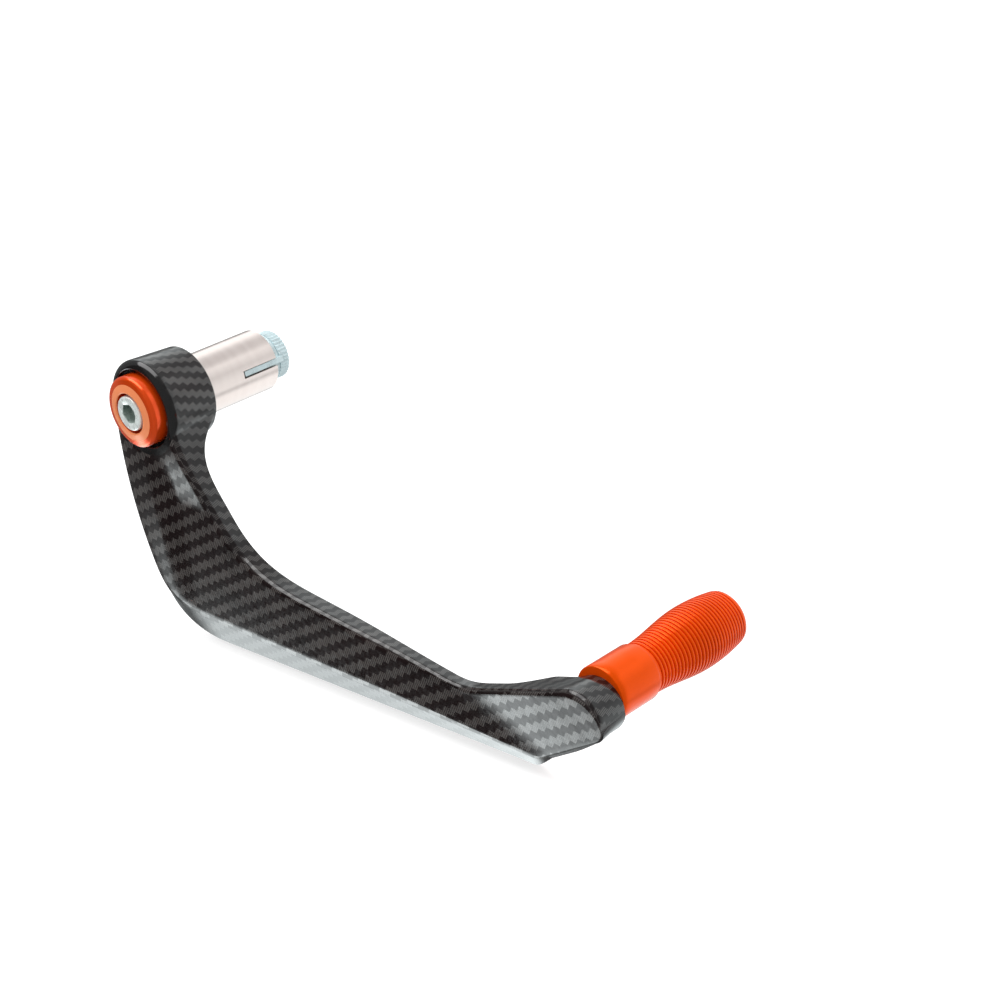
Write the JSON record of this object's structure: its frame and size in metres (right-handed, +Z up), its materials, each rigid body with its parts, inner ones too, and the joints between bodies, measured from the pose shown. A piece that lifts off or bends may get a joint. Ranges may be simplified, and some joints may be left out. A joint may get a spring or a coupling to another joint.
{
  "type": "brake lever guard",
  "caption": "Bar end guard for a brake lever: bent carbon look arm on an expanding bar plug, with a ribbed anodised grip standing off its tip.",
  "frame": {"origin": "on the plug axis at the back face of the boss, where it meets the end of the handlebar", "axes": "+Y along the plug into the handlebar, +X along the long leg towards the grip, +Z up"},
  "size_m": [0.1779, 0.0613, 0.0835],
  "materials": {
    "moulded_arm": "gloss, carbon twill print on the front and sides",
    "orange_anodised": "orange anodised",
    "plated_bolt": "zinc plated",
    "plain_aluminium": "turned",
    "zinc_steel": "zinc plated",
    "orange_grip": "orange anodised, turned grooves",
    "plated_screw": "zinc plated",
    "brass_bush": "turned"
  },
  "bodies": {
    "root": {"arm": "moulded_arm", "cap_washer": "orange_anodised", "sleeve": "plain_aluminium", "grip": "orange_grip", "grip_screw": "plated_screw", "grip_insert": "brass_bush"},
    "bolt": {"bolt": "plated_bolt"},
    "cone": {"cone_nut": "zinc_steel"}
  },
  "joints": [
    {"name": "bolt_turn", "type": "hinge", "parent": "root", "child": "bolt", "pos_m": [0, 0, 0], "axis": [0, 1, 0], "range_deg": [-1440, 0]},
    {"name": "cone_draw", "type": "slide", "parent": "root", "child": "cone", "axis": [0, 1, 0], "range_m": [0, 0.004]}
  ],
  "couplings": [
    {"joint": "bolt_turn", "follows": "cone_draw", "rad_per_m": -6283.2}
  ]
}
